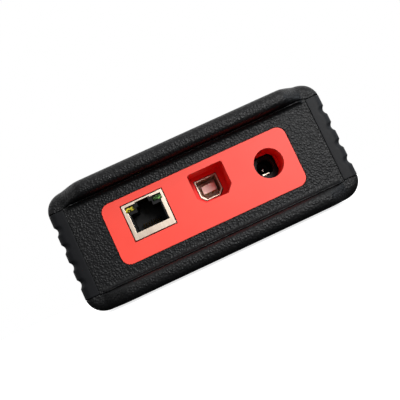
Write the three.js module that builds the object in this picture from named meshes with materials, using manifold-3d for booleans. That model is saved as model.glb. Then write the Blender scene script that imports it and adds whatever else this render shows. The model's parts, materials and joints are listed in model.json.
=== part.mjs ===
// Bench logic analyzer pod: two moulded shells, two side grips, an end panel with a red bezel at each end,
// three sockets at one end, a probe header with ejector latches at the other, and two stacked boards.
// Millimetres, +Z up. The connector end looks towards -Y. The origin is on the surface that the feet
// stand on, under the middle of the case.
import * as THREE from 'three';
import { mergeVertices } from 'three/addons/utils/BufferGeometryUtils.js';
import Module from 'manifold-3d';

// ---- driving dimensions ----
const gap = 0.3; // space left between two pieces that meet
const beyond = 5; // how far a cutting solid runs past the face that it cuts

const overall = { width: 111.2, length: 146, height: 47.3, cornerRadius: 7.5 };
const lip = { reach: 6.9, thickness: 6.25, outerRadius: 3.3, innerRadius: 1.9 };
const lipRamp = { endInset: 1.2, width: 7 };
const shell = { wall: 2.6, sideWall: 2.4, endFrame: 8, frontRadius: 3, cavityRadius: 4 };
const grip = { thickness: 3.3, wrap: 6, flange: 3.3, cornerRadius: 3 };
const groove = { count: 4, pitch: 7, width: 3.5, depth: 0.9, facets: 28 };
const panel = { thickness: 3, coveRadius: 1.7, coveTip: 0.3 };
const panelTongue = { thickness: 2, height: 2, inset: 3.3 };
const bezel = { width: 74.5, height: 23.9, radius: 3.5, seam: 0.25, skin: 2.2, rim: 1.8 };
const bezelFlange = { reach: 2, thickness: 1.4 };
const foot = { diameter: 10, thickness: 2, protrusion: 0.8, insetX: 19.6, insetY: 24.1, chamfer: 0.4 };
const caseScrew = { shank: 2.9, length: 30, head: 5.6, headHeight: 2.1 };
const caseScrewSeat = { insetX: 10.6, insetY: 12.1, recess: 3.4 };
const caseBoss = { diameter: 6.4, pilot: 3.5, pilotDepth: 12, clearanceHole: 3.5 };

const board = { thickness: 1.6, endInset: 6.5, bossGap: 0.5, cornerRadius: 2, notchGap: 0.5 };
const standoff = { acrossFlats: 5.5, stud: 2.9, studLength: 8, socketDepth: 7 };
const standoffSeat = { insetX: 4.3, insetY: 7.6, hole: 3.5 };
const boardScrew = { shank: 2.9, length: 7, head: 5.5, headHeight: 1.8 };
// The tip's values are shares of the shank's diameter, and the head's are shares of the head's.
const screwTip = { radius: 0.35, height: 0.2 };
const screwHead = { shoulder: 0.45, slotDepth: 0.55, crown: 0.32, slotReach: 0.26, slotHalf: 0.07 };
const standoffBoss = { diameter: 7, holeDepth: 9 };

const rj45 = { centerX: -21.72, centerZ: 2.01, width: 16.2, height: 13.7, length: 21.6, sheet: 0.4 };
const rj45Hole = { gap: 0.4 };
const rj45Mouth = { halfWidth: 6.55, floorZ: -2.37, roofZ: 5.62, notchHalfWidth: 2.9, notchRoofZ: 8.3 };
const rj45LedWindow = { halfWidth: 7.15, roofZ: 7.93 };
const rj45Cavity = { halfWidth: 5.95, roofZ: 4.67, depth: 13, trough: 1 };
const rj45Latchway = { stepHalfWidth: 3.1, stepRoofZ: 6.5, halfWidth: 2.16 };
const rj45Contact = { count: 8, pitch: 1.02, width: 0.46, thickness: 0.36 };
const rj45ContactPath = { frontDepth: 3.2, backDepth: 11.4, flat: 2, rise: 3.4 };
const rj45Led = { width: 3.1, height: 1.5, centerX: 5.5, centerZ: 6.65, recess: 0.6, length: 6 };

const usb = { centerX: 3.96, centerZ: 3.14 };
const usbDuct = { halfWidth: 7.08, halfHeight: 6.1, chamferX: 2.5, chamferZ: 2.75 };
const usbDuctShell = { wall: 1.4, depth: 14.6, floor: 1.2 };
const usbShell = { halfWidth: 4.65, halfHeight: 4.3, chamferX: 1.7, chamferZ: 1.85, sheet: 0.4 };
const usbShellDepth = { front: 15, length: 16.2 };
const usbTongue = { width: 5.6, height: 3.2, frontDepth: 17.2, baseDepth: 26 };
const usbLeg = { width: 2.4, depth: 19 };

const dcJack = { centerX: 26.75, centerZ: 0.77, frontDepth: 12 };
const dcDuct = { diameter: 11.4, wall: 1.3, floor: 1 };
const dcBody = { width: 9, below: 6.5, above: 4.5, length: 14.4, chamfer: 1 };
const dcBarrel = { diameter: 6.4, depth: 9.6 };
const dcPin = { diameter: 2, frontDepth: 17.2, rootLength: 2.4 };
const dcSpring = { width: 3, thickness: 0.35, frontDepth: 14, length: 7, bow: 0.7 };

const header = { columns: 10, pitch: 2.54, height: 9.1, depth: 11 };
const headerMouth = { wall: 1.35, reach: 1, floorDepth: 5.4, keyWidth: 4.6 };
const headerEnd = { wallInset: 5, earReach: 4.6, earDepth: 1, toeFloorDepth: 8.4 };
const latch = { pivotReach: 2.2, pivotDepth: 6, thickness: 2.2, reach: 6, trunnion: 1.6, trunnionGap: 0.1 };
const latchHook = { inward: 2.1, depth: 2.2, frontGap: 0.5 };
const latchToe = { inward: 4.6, depth: 1.6, drop: 0.2 };
const headerSlot = { halfWidth: 24.6, margin: 0.9 };
const statusLight = { centerX: -31, centerZ: 4.25, diameter: 3, proud: 0.4, length: 11, ledSize: 3 };

const fpga = { size: 19, height: 1.6, x: 0, y: 8 };
const heatsink = { size: 21, base: 1.6, height: 6, fins: 7, finThickness: 1 };
const memoryChip = { width: 8, length: 13, height: 1.1, x: 24, y: 8, count: 2 };
const ethernetChip = { size: 9, height: 0.9, x: -21.7, y: -26 };
const usbChip = { size: 8, height: 0.9, x: 4, y: -24 };
const oscillator = { width: 5, length: 7, height: 1.7, x: -15, y: -8 };
const inductor = { size: 10, height: 4.5, x: 20, y: -26, chamfer: 1.6 };
const capacitor = { diameter: 8, height: 10, x: 33, y: -24 };
// The bead's and the top's values are shares of the can's height and radius.
const canBead = { low: 0.12, middle: 0.17, high: 0.22, neck: 0.93 };
const canTop = { start: 0.96, radius: 0.92 };
const regulator = { width: 6.5, length: 6.1, height: 2.3, x: 8, y: -26 };
const stack = { columns: 10, rows: 2, pitch: 2.54, x: 0, y: 26 };
const stackHeader = { post: 0.64, base: 2.5, postReach: 8.2 };
const stackSocket = { height: 8.5, roof: 1 };

const arcSteps = 3; // a quarter round is drawn in twice as many straight steps
const roundSides = 24;
const smallRoundSides = 16;
const hexagonSides = 6;

// ---- positions that follow from the driving dimensions ----
const halfWidth = overall.width / 2;
const halfLength = overall.length / 2;
const halfHeight = overall.height / 2;
const midHeight = foot.protrusion + halfHeight;
const faceY = halfLength - lip.reach;
const lipInnerZ = halfHeight - lip.thickness;
const panelHalfHeight = lipInnerZ - gap;
const gripInnerX = halfWidth - grip.wrap;
const gripBackX = halfWidth - grip.thickness;
const panelHalfWidth = gripInnerX - gap;
const cavityHalfWidth = gripBackX - gap - shell.sideWall;
const cavityHalfHeight = halfHeight - shell.wall;
const cavityHalfLength = faceY - shell.endFrame;
const caseScrewX = halfWidth - caseScrewSeat.insetX;
const caseScrewY = faceY - caseScrewSeat.insetY;
const boardHalfWidth = caseScrewX - caseBoss.diameter / 2 - board.bossGap;
const boardHalfLength = faceY - board.endInset;
const standoffX = boardHalfWidth - standoffSeat.insetX;
const standoffY = boardHalfLength - standoffSeat.insetY;
const mainBoardZ = rj45.centerZ + rj45.height / 2 + gap; // underside of the upper board
const rj45Bottom = rj45.centerZ - rj45.height / 2;
const dcJackBottom = Math.min(dcJack.centerZ - dcBody.below, rj45Bottom);
const powerBoardZ = dcJackBottom - gap; // top of the lower board
const headerZ = mainBoardZ - gap - header.height / 2;
const headerHalfSpan = ((header.columns - 1) * header.pitch) / 2 + headerEnd.wallInset;
const latchPivotX = headerHalfSpan + latch.pivotReach;
const signs = [-1, 1];
const corners = signs.flatMap((sideX) => signs.map((sideY) => [sideX, sideY]));

const wasm = await Module();
wasm.setup();

// ---- solids ----
function toSolid(geometry) {
  geometry.deleteAttribute('normal');
  geometry.deleteAttribute('uv');
  const merged = mergeVertices(geometry);
  const vertProperties = new Float32Array(merged.attributes.position.array);
  const triVerts = new Uint32Array(merged.index.array);
  return new wasm.Manifold(new wasm.Mesh({ numProp: 3, vertProperties, triVerts }));
}

function toGeometry(solid) {
  const { vertProperties, triVerts } = solid.getMesh();
  const geometry = new THREE.BufferGeometry();
  geometry.setAttribute('position', new THREE.BufferAttribute(vertProperties, 3));
  geometry.setIndex(new THREE.BufferAttribute(triVerts, 1));
  geometry.computeVertexNormals();
  return geometry;
}

function block(x0, x1, y0, y1, z0, z1) {
  const geometry = new THREE.BoxGeometry(x1 - x0, y1 - y0, z1 - z0);
  geometry.translate((x0 + x1) / 2, (y0 + y1) / 2, (z0 + z1) / 2);
  return toSolid(geometry);
}

function extrude(shape, start, end) {
  const settings = { depth: end - start, bevelEnabled: false, curveSegments: arcSteps };
  return new THREE.ExtrudeGeometry(shape, settings).translate(0, 0, start);
}

// The outline's two axes become Y and Z.
function alongX(shape, x0, x1) {
  const turn = new THREE.Matrix4().makeBasis(
    new THREE.Vector3(0, 1, 0),
    new THREE.Vector3(0, 0, 1),
    new THREE.Vector3(1, 0, 0),
  );
  return toSolid(extrude(shape, x0, x1).applyMatrix4(turn));
}

// The outline's two axes become X and Z.
function alongY(shape, y0, y1) {
  return toSolid(extrude(shape, -y1, -y0).rotateX(Math.PI / 2));
}

// The outline's two axes become X and Y.
function alongZ(shape, z0, z1) {
  return toSolid(extrude(shape, z0, z1));
}

function rodZ(diameter, z0, z1, x, y, sides = smallRoundSides) {
  const geometry = new THREE.CylinderGeometry(diameter / 2, diameter / 2, z1 - z0, sides);
  return toSolid(geometry.rotateX(Math.PI / 2).translate(x, y, (z0 + z1) / 2));
}

function rodY(diameter, y0, y1, x, z, sides = roundSides) {
  const geometry = new THREE.CylinderGeometry(diameter / 2, diameter / 2, y1 - y0, sides);
  return toSolid(geometry.translate(x, (y0 + y1) / 2, z));
}

// A body of revolution about Z, from [radius, height] points that start and end on the axis.
function turned(points, sides = smallRoundSides) {
  const profile = points.map(([radius, height]) => new THREE.Vector2(radius, height));
  return toSolid(new THREE.LatheGeometry(profile, sides).rotateX(Math.PI / 2));
}

function polygon(points) {
  return new THREE.Shape(points.map(([x, y]) => new THREE.Vector2(x, y)));
}

function roundedRectangle(halfX, halfY, radius) {
  const shape = new THREE.Shape();
  shape.absarc(halfX - radius, halfY - radius, radius, 0, Math.PI / 2);
  shape.absarc(radius - halfX, halfY - radius, radius, Math.PI / 2, Math.PI);
  shape.absarc(radius - halfX, radius - halfY, radius, Math.PI, 1.5 * Math.PI);
  shape.absarc(halfX - radius, radius - halfY, radius, 1.5 * Math.PI, 2 * Math.PI);
  return shape;
}

function joined(solids) {
  return solids.reduce((whole, solid) => whole.add(solid));
}

// ---- materials ----
function material(color, roughness, metalness = 0) {
  return new THREE.MeshStandardMaterial({ color, roughness, metalness });
}

const blackAbs = material(0x2b2c2d, 0.62);
const gripElastomer = material(0x33353a, 0.75);
const redAbs = material(0xf4544a, 0.5);
const blackNylon = material(0x101113, 0.45);
const blackRubber = material(0x17181a, 0.9);
const plainSteel = material(0xb9bbbe, 0.35, 1);
const zincSteel = material(0x8d9094, 0.4, 1);
const tinPlate = material(0xd9d2c4, 0.3, 1);
const goldPlate = material(0xd6a545, 0.3, 1);
const brass = material(0xc9a659, 0.35, 1);
const aluminium = material(0x2f3134, 0.5, 1);
const boardLaminate = material(0x1d5c38, 0.5);
const chipPackage = material(0x1b1c1e, 0.6);
const creamNylon = material(0xe6c7bb, 0.5);
const amberLens = material(0xe8c52e, 0.25);
const greenLens = material(0x5fbf6b, 0.25);
const clearLens = material(0xdfe6e8, 0.15);
const ferrite = material(0x3a3b3d, 0.7);

function node(name, solid, look) {
  const mesh = new THREE.Mesh(toGeometry(solid), look);
  mesh.name = name;
  return mesh;
}

// ---- case ----

// Outline of the lips seen from above: they stand out of each end face, with a ramp at both of their ends.
function lipPlan() {
  const rootX = panelHalfWidth - lipRamp.endInset;
  const tipX = rootX - lipRamp.width;
  return polygon([
    [-tipX, -halfLength],
    [tipX, -halfLength],
    [rootX, -faceY],
    [rootX, faceY],
    [tipX, halfLength],
    [-tipX, halfLength],
    [-rootX, faceY],
    [-rootX, -faceY],
  ]);
}

// A long block with rounded edges all round: long corners, upright end corners and end edges.
function softBlock(plan, endY, endRadius) {
  const longY = halfLength + beyond;
  const section = alongY(roundedRectangle(halfWidth, halfHeight, overall.cornerRadius), -longY, longY);
  const farX = halfWidth + beyond;
  const profile = alongX(roundedRectangle(endY, halfHeight, endRadius), -farX, farX);
  return section.intersect(alongZ(plan, -halfHeight - beyond, halfHeight + beyond)).intersect(profile);
}

// The space between the upper and the lower lip, which widens round the lips' inner edges.
function lipMouth() {
  const round = lip.innerRadius;
  const shape = new THREE.Shape();
  shape.moveTo(faceY, -lipInnerZ);
  shape.lineTo(halfLength - round, -lipInnerZ);
  shape.absarc(halfLength - round, -lipInnerZ - round, round, Math.PI / 2, 0, true);
  shape.lineTo(halfLength + beyond, -lipInnerZ - round);
  shape.lineTo(halfLength + beyond, lipInnerZ + round);
  shape.lineTo(halfLength, lipInnerZ + round);
  shape.absarc(halfLength - round, lipInnerZ + round, round, 0, -Math.PI / 2, true);
  shape.lineTo(faceY, lipInnerZ);
  return alongX(shape, -halfWidth - beyond, halfWidth + beyond);
}

// Everything that one end of the shells leaves free: the mouth, the panel's opening and its groove.
function endOpening() {
  const panelBack = faceY - panel.thickness;
  const tongueHalfWidth = panelHalfWidth - panelTongue.inset + gap;
  const tongueHalfHeight = panelHalfHeight + panelTongue.height + gap;
  const front = faceY + beyond;
  const opening = block(-gripInnerX, gripInnerX, cavityHalfLength - beyond, front, -lipInnerZ, lipInnerZ);
  const tongueBack = panelBack - panelTongue.thickness - gap;
  const slot = block(
    -tongueHalfWidth, tongueHalfWidth, tongueBack, panelBack + gap, -tongueHalfHeight, tongueHalfHeight,
  );
  return joined([lipMouth(), opening, slot]);
}

// The seat of one side grip, with the deeper steps where the grip wraps onto the end faces.
function gripSeat() {
  const far = halfWidth + beyond;
  const longY = halfLength + beyond;
  const stepY = faceY - grip.flange - gap;
  const side = block(gripBackX - gap, far, -longY, longY, -panelHalfHeight, panelHalfHeight);
  const front = block(cavityHalfWidth - beyond, far, -longY, -stepY, -panelHalfHeight, panelHalfHeight);
  const back = block(cavityHalfWidth - beyond, far, stepY, longY, -panelHalfHeight, panelHalfHeight);
  return joined([side, front, back]);
}

function halfTurn(solid) {
  return solid.rotate([0, 0, 180]);
}

// The outer skin of the whole case, before it is parted at mid height.
function caseSkin() {
  const body = softBlock(roundedRectangle(halfWidth, faceY, shell.frontRadius), faceY, shell.frontRadius);
  const lips = softBlock(lipPlan(), halfLength, lip.outerRadius);
  const cavityOutline = roundedRectangle(cavityHalfWidth, cavityHalfHeight, shell.cavityRadius);
  const cavity = alongY(cavityOutline, -cavityHalfLength, cavityHalfLength);
  const end = endOpening();
  const seat = gripSeat();
  return body.add(lips)
    .subtract(joined([cavity, end, halfTurn(end)]))
    .subtract(seat).subtract(halfTurn(seat));
}

function topShell(skin) {
  const far = halfLength + beyond;
  const upper = skin.intersect(block(-far, far, -far, far, gap / 2, far));
  const bosses = corners.map(([sideX, sideY]) => {
    const x = sideX * caseScrewX;
    const y = sideY * caseScrewY;
    const post = rodZ(caseBoss.diameter, gap / 2, halfHeight - shell.wall / 2, x, y);
    return post.subtract(rodZ(caseBoss.pilot, -beyond, caseBoss.pilotDepth, x, y));
  });
  return joined([upper, ...bosses]);
}

function bottomShell(skin) {
  const far = halfLength + beyond;
  const lower = skin.intersect(block(-far, far, -far, far, -far, -gap / 2));
  const inside = shell.wall / 2 - halfHeight;
  const boardBossTop = powerBoardZ - board.thickness - gap;
  const posts = [];
  const holes = [];
  for (const [sideX, sideY] of corners) {
    const screwX = sideX * caseScrewX;
    const screwY = sideY * caseScrewY;
    const postX = sideX * standoffX;
    const postY = sideY * standoffY;
    const footX = sideX * (halfWidth - foot.insetX);
    const footY = sideY * (faceY - foot.insetY);
    const recessTop = caseScrewSeat.recess - halfHeight;
    const footTop = foot.thickness - foot.protrusion + gap - halfHeight;
    posts.push(rodZ(caseBoss.diameter + gap, inside, -gap / 2, screwX, screwY));
    posts.push(rodZ(standoffBoss.diameter, inside, boardBossTop, postX, postY));
    holes.push(rodZ(caseBoss.clearanceHole, -halfHeight - beyond, beyond, screwX, screwY));
    holes.push(rodZ(caseScrew.head + 2 * gap, -halfHeight - beyond, recessTop, screwX, screwY));
    const holeBottom = boardBossTop - standoffBoss.holeDepth;
    holes.push(rodZ(standoffSeat.hole, holeBottom, boardBossTop + beyond, postX, postY));
    holes.push(rodZ(foot.diameter + 2 * gap, -halfHeight - beyond, footTop, footX, footY, roundSides));
  }
  return joined([lower, ...posts]).subtract(joined(holes));
}

// A C-shaped side grip that wraps onto both end faces, with shallow finger grooves along it.
function sideGrip() {
  const round = grip.cornerRadius;
  const shape = new THREE.Shape();
  shape.moveTo(gripInnerX, -faceY);
  shape.absarc(halfWidth - round, round - faceY, round, -Math.PI / 2, 0);
  shape.absarc(halfWidth - round, faceY - round, round, 0, Math.PI / 2);
  shape.lineTo(gripInnerX, faceY);
  shape.lineTo(gripInnerX, faceY - grip.flange);
  shape.lineTo(gripBackX, faceY - grip.flange);
  shape.lineTo(gripBackX, grip.flange - faceY);
  shape.lineTo(gripInnerX, grip.flange - faceY);
  const body = alongZ(shape, gap - panelHalfHeight, panelHalfHeight - gap);
  const cutterRadius = ((groove.width / 2) ** 2 + groove.depth ** 2) / (2 * groove.depth);
  const cutterX = halfWidth + cutterRadius - groove.depth;
  const cutters = Array.from({ length: groove.count }, (_, index) => {
    const z = (index - (groove.count - 1) / 2) * groove.pitch;
    return rodY(2 * cutterRadius, -halfLength, halfLength, cutterX, z, groove.facets);
  });
  return body.subtract(joined(cutters));
}

function rubberFoot() {
  const radius = foot.diameter / 2;
  const { thickness, chamfer } = foot;
  const profile = [[0, 0], [radius - chamfer, 0], [radius, chamfer], [radius, thickness], [0, thickness]];
  return turned(profile, roundSides);
}

// A pan-head machine screw that stands on its tip, with a cross recess sunk into the head.
function machineScrew(length, shank, head, headHeight) {
  const top = length + headHeight;
  const body = turned([
    [0, 0],
    [shank * screwTip.radius, 0],
    [shank / 2, shank * screwTip.height],
    [shank / 2, length],
    [head / 2, length],
    [head / 2, length + headHeight * screwHead.shoulder],
    [head * screwHead.crown, top],
    [0, top],
  ]);
  const slotHalf = head * screwHead.slotReach;
  const slotWidth = head * screwHead.slotHalf;
  const floor = top - headHeight * screwHead.slotDepth;
  const slotX = block(-slotHalf, slotHalf, -slotWidth, slotWidth, floor, top + beyond);
  const slotY = block(-slotWidth, slotWidth, -slotHalf, slotHalf, floor, top + beyond);
  return body.subtract(slotX.add(slotY));
}

// ---- end panels, in the end's own frame: Y is the depth behind the end face ----

// The strip along one long edge of a panel: its face sweeps forward in a hollow curve that meets the lip.
function panelCove(side) {
  const radius = panel.coveRadius;
  const inner = panelHalfHeight - panel.coveTip - radius;
  const shape = new THREE.Shape();
  shape.moveTo(panel.thickness, inner);
  shape.lineTo(0, inner);
  shape.absarc(-radius, inner, radius, 0, Math.PI / 2);
  shape.lineTo(-radius, panelHalfHeight);
  shape.lineTo(panel.thickness, panelHalfHeight);
  const strip = alongX(shape, -panelHalfWidth, panelHalfWidth);
  const lipSpan = alongZ(lipPlan(), -halfHeight, halfHeight).translate([0, faceY, 0]);
  return side > 0 ? strip.intersect(lipSpan) : strip.intersect(lipSpan).mirror([0, 0, 1]);
}

function endPanel() {
  const { thickness } = panel;
  const plate = block(-panelHalfWidth, panelHalfWidth, 0, thickness, -panelHalfHeight, panelHalfHeight);
  const tongueX = panelHalfWidth - panelTongue.inset;
  const tongueZ = panelHalfHeight + panelTongue.height;
  const back = panel.thickness + panelTongue.thickness;
  const tongue = block(-tongueX, tongueX, panel.thickness, back, -tongueZ, tongueZ);
  const windowOutline = roundedRectangle(
    bezel.width / 2 + bezel.seam, bezel.height / 2 + bezel.seam, bezel.radius + bezel.seam,
  );
  const reach = bezelFlange.reach + 2 * gap;
  const halfX = bezel.width / 2 + reach;
  const halfZ = bezel.height / 2 + reach;
  const pocketOutline = roundedRectangle(halfX, halfZ, bezel.radius + reach);
  const cuts = alongY(windowOutline, -beyond, back + beyond);
  const pocket = alongY(pocketOutline, panel.thickness, back + beyond);
  return joined([plate, tongue, ...signs.map(panelCove)]).subtract(cuts).subtract(pocket);
}

// A moulded bezel: a thin face with a rim, and a flange that holds it behind the panel.
function bezelBody() {
  const flangeFront = panel.thickness + gap;
  const flangeBack = flangeFront + bezelFlange.thickness;
  const face = alongY(roundedRectangle(bezel.width / 2, bezel.height / 2, bezel.radius), 0, flangeBack);
  const { width, height, radius, rim } = bezel;
  const { reach } = bezelFlange;
  const flangeOutline = roundedRectangle(width / 2 + reach, height / 2 + reach, radius + reach);
  const pocketOutline = roundedRectangle(width / 2 - rim, height / 2 - rim, radius - rim);
  const collar = alongY(flangeOutline, flangeFront, flangeBack);
  return face.add(collar).subtract(alongY(pocketOutline, bezel.skin, flangeBack + beyond));
}

// A square-shouldered outline whose two lower corners are cut off.
function chamferedOutline(halfX, halfZ, chamferX, chamferZ) {
  const { centerX: x, centerZ: z } = usb;
  return polygon([
    [x - halfX, z + halfZ],
    [x - halfX, z - halfZ + chamferZ],
    [x - halfX + chamferX, z - halfZ],
    [x + halfX - chamferX, z - halfZ],
    [x + halfX, z - halfZ + chamferZ],
    [x + halfX, z + halfZ],
  ]);
}

// The deep duct that leads to the USB socket: its walls, and what is cut out of them.
function usbDuctParts() {
  const { halfWidth: halfX, halfHeight: halfZ, chamferX, chamferZ } = usbDuct;
  const { wall, depth, floor } = usbDuctShell;
  const wallOutline = chamferedOutline(halfX + wall, halfZ + wall, chamferX + wall, chamferZ + wall);
  const windowOutline = chamferedOutline(
    usbShell.halfWidth + gap, usbShell.halfHeight + gap, usbShell.chamferX, usbShell.chamferZ,
  );
  const ductEnd = depth + floor;
  const tube = alongY(wallOutline, bezel.skin / 2, ductEnd);
  const bore = alongY(chamferedOutline(halfX, halfZ, chamferX, chamferZ), -beyond, depth);
  return { wall: tube, cut: bore.add(alongY(windowOutline, -beyond, ductEnd + beyond)) };
}

// The round duct that leads to the power jack: its walls, and what is cut out of them.
function dcDuctParts() {
  const { centerX: x, centerZ: z } = dcJack;
  const { diameter } = dcDuct;
  const ductEnd = dcJack.frontDepth - gap;
  const half = dcBody.width / 2 + gap;
  const tube = rodY(diameter + 2 * dcDuct.wall, bezel.skin / 2, ductEnd, x, z);
  const bore = rodY(diameter, -beyond, ductEnd - dcDuct.floor, x, z);
  const jackFront = block(
    x - half, x + half, ductEnd - beyond, ductEnd + beyond, dcJackBottom - gap, z + dcBody.above + gap,
  );
  const window = jackFront.intersect(rodY(diameter, ductEnd - beyond, ductEnd + beyond, x, z));
  return { wall: tube, cut: bore.add(window) };
}

function connectorBezel() {
  const usbParts = usbDuctParts();
  const dcParts = dcDuctParts();
  const { centerX: rjX, centerZ: rjZ } = rj45;
  const rjHalfX = rj45.width / 2 + rj45Hole.gap;
  const rjHalfZ = rj45.height / 2 + rj45Hole.gap;
  const rjHole = block(
    rjX - rjHalfX, rjX + rjHalfX, -beyond, usbDuctShell.depth, rjZ - rjHalfZ, rjZ + rjHalfZ,
  );
  const walls = joined([bezelBody(), usbParts.wall, dcParts.wall]);
  return walls.subtract(joined([usbParts.cut, dcParts.cut, rjHole]));
}

function probeBezel() {
  const slotX = headerSlot.halfWidth;
  const slotZ = header.height / 2 + headerSlot.margin;
  const through = panel.thickness + beyond;
  const { diameter, centerX, centerZ } = statusLight;
  const slot = block(-slotX, slotX, -beyond, through, headerZ - slotZ, headerZ + slotZ);
  const lightHole = rodY(diameter + 2 * gap, -beyond, through, centerX, centerZ, smallRoundSides);
  return bezelBody().subtract(slot).subtract(lightHole);
}

// ---- network socket ----

function atRj45(x0, x1, y0, y1, z0, z1) {
  return block(rj45.centerX + x0, rj45.centerX + x1, y0, y1, z0, z1);
}

// A folded can, open towards the board, whose front is cut out round the socket and its two lights.
function rj45Shield() {
  const halfX = rj45.width / 2;
  const top = rj45.centerZ + rj45.height / 2;
  const { sheet, length } = rj45;
  const mouth = rj45Mouth;
  const lights = rj45LedWindow;
  const through = sheet + gap;
  const can = atRj45(-halfX, halfX, 0, length, rj45Bottom, top);
  const innerX = halfX - sheet;
  const inside = atRj45(-innerX, innerX, sheet, length - sheet, rj45Bottom + sheet, top + beyond);
  const socket = atRj45(-mouth.halfWidth, mouth.halfWidth, -beyond, through, mouth.floorZ, mouth.roofZ);
  const lightX = lights.halfWidth;
  const lightWindow = atRj45(-lightX, lightX, -beyond, through, mouth.roofZ, lights.roofZ);
  const notchX = mouth.notchHalfWidth;
  const notch = atRj45(-notchX, notchX, -beyond, through, mouth.roofZ, mouth.notchRoofZ);
  return can.subtract(joined([inside, socket, lightWindow, notch]));
}

function rj45LedRecess(side) {
  const halfX = rj45Led.width / 2 + gap;
  const halfZ = rj45Led.height / 2 + gap / 2;
  const x = side * rj45Led.centerX;
  const end = rj45Led.recess + rj45Led.length + gap;
  return atRj45(x - halfX, x + halfX, -beyond, end, rj45Led.centerZ - halfZ, rj45Led.centerZ + halfZ);
}

function rj45Housing() {
  const front = rj45.sheet + gap;
  const halfX = rj45.width / 2 - rj45.sheet - gap;
  const bottom = rj45Bottom + rj45.sheet + gap;
  const top = rj45.centerZ + rj45.height / 2 - gap;
  const cavity = rj45Cavity;
  const latchway = rj45Latchway;
  const body = atRj45(-halfX, halfX, front, rj45.length - rj45.sheet - gap, bottom, top);
  const { depth } = cavity;
  const socketX = cavity.halfWidth;
  const socket = atRj45(-socketX, socketX, -beyond, depth, rj45Mouth.floorZ, cavity.roofZ);
  const stepX = latchway.stepHalfWidth;
  const step = atRj45(-stepX, stepX, -beyond, depth, 0, latchway.stepRoofZ);
  const notchX = latchway.halfWidth;
  const notch = atRj45(-notchX, notchX, -beyond, depth, 0, rj45Mouth.notchRoofZ);
  const troughX = ((rj45Contact.count - 1) * rj45Contact.pitch + rj45Contact.width) / 2 + gap;
  const trough = atRj45(
    -troughX, troughX, rj45ContactPath.frontDepth - gap, depth, rj45Mouth.floorZ - cavity.trough, 0,
  );
  return body.subtract(joined([socket, step, notch, trough, ...signs.map(rj45LedRecess)]));
}

// One sprung wire: flat on the socket's floor at the front, rising towards the back.
function rj45ContactWire(index) {
  const x = rj45.centerX + (index - (rj45Contact.count - 1) / 2) * rj45Contact.pitch;
  const { width, thickness } = rj45Contact;
  const { frontDepth, backDepth, flat, rise } = rj45ContactPath;
  const floor = rj45Mouth.floorZ - rj45Cavity.trough + gap;
  const bend = frontDepth + flat;
  const outline = polygon([
    [frontDepth, floor],
    [bend, floor],
    [backDepth, floor + rise],
    [backDepth, floor + rise + thickness],
    [bend - thickness / 2, floor + thickness],
    [frontDepth, floor + thickness],
  ]);
  return alongX(outline, x - width / 2, x + width / 2);
}

function rj45Lens(side) {
  const halfX = rj45Led.width / 2;
  const halfZ = rj45Led.height / 2;
  const x = side * rj45Led.centerX;
  const { recess, length, centerZ } = rj45Led;
  return atRj45(x - halfX, x + halfX, recess, recess + length, centerZ - halfZ, centerZ + halfZ);
}

// ---- USB socket ----

function usbShellBody() {
  const { halfWidth: halfX, halfHeight: halfZ, chamferX, chamferZ, sheet } = usbShell;
  const { front, length } = usbShellDepth;
  const tube = alongY(chamferedOutline(halfX, halfZ, chamferX, chamferZ), front, front + length);
  const inner = chamferedOutline(halfX - sheet, halfZ - sheet, chamferX, chamferZ);
  const bore = alongY(inner, front - beyond, front + length - sheet);
  const legTop = mainBoardZ - gap;
  const legs = signs.map((side) => {
    const inside = usb.centerX + side * (halfX - sheet);
    const outside = usb.centerX + side * halfX;
    const y0 = usbLeg.depth;
    const y1 = y0 + usbLeg.width;
    return block(Math.min(inside, outside), Math.max(inside, outside), y0, y1, usb.centerZ, legTop);
  });
  return joined([tube, ...legs]).subtract(bore);
}

function usbInsulator() {
  const { halfWidth: halfX, halfHeight: halfZ, chamferX, chamferZ, sheet } = usbShell;
  const inset = sheet + gap;
  const baseBack = usbShellDepth.front + usbShellDepth.length - inset;
  const baseOutline = chamferedOutline(halfX - inset, halfZ - inset, chamferX, chamferZ);
  const base = alongY(baseOutline, usbTongue.baseDepth, baseBack);
  const tongue = block(
    usb.centerX - usbTongue.width / 2, usb.centerX + usbTongue.width / 2,
    usbTongue.frontDepth, usbTongue.baseDepth + gap,
    usb.centerZ - usbTongue.height / 2, usb.centerZ + usbTongue.height / 2,
  );
  return base.add(tongue);
}

// ---- power jack ----

function dcJackBody() {
  const { width, above, length, chamfer } = dcBody;
  const { centerX: x, centerZ: z, frontDepth } = dcJack;
  const outline = polygon([
    [x - width / 2, dcJackBottom],
    [x + width / 2, dcJackBottom],
    [x + width / 2, z + above - chamfer],
    [x + width / 2 - chamfer, z + above],
    [x - width / 2 + chamfer, z + above],
    [x - width / 2, z + above - chamfer],
  ]);
  const body = alongY(outline, frontDepth, frontDepth + length);
  const boreEnd = frontDepth + dcBarrel.depth;
  const bore = rodY(dcBarrel.diameter, frontDepth - beyond, boreEnd, x, z);
  const pinHole = rodY(dcPin.diameter + 2 * gap, frontDepth, boreEnd + dcPin.rootLength, x, z);
  return body.subtract(bore).subtract(pinHole);
}

function dcCenterPin() {
  const back = dcJack.frontDepth + dcBarrel.depth + dcPin.rootLength - gap;
  const length = back - dcPin.frontDepth;
  const radius = dcPin.diameter / 2;
  const slant = radius * Math.SQRT1_2;
  const pin = turned([
    [0, 0],
    [radius, 0],
    [radius, length - radius],
    [slant, length - radius + slant],
    [0, length],
  ]);
  return pin.rotate([90, 0, 0]).translate([dcJack.centerX, back, dcJack.centerZ]);
}

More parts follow.
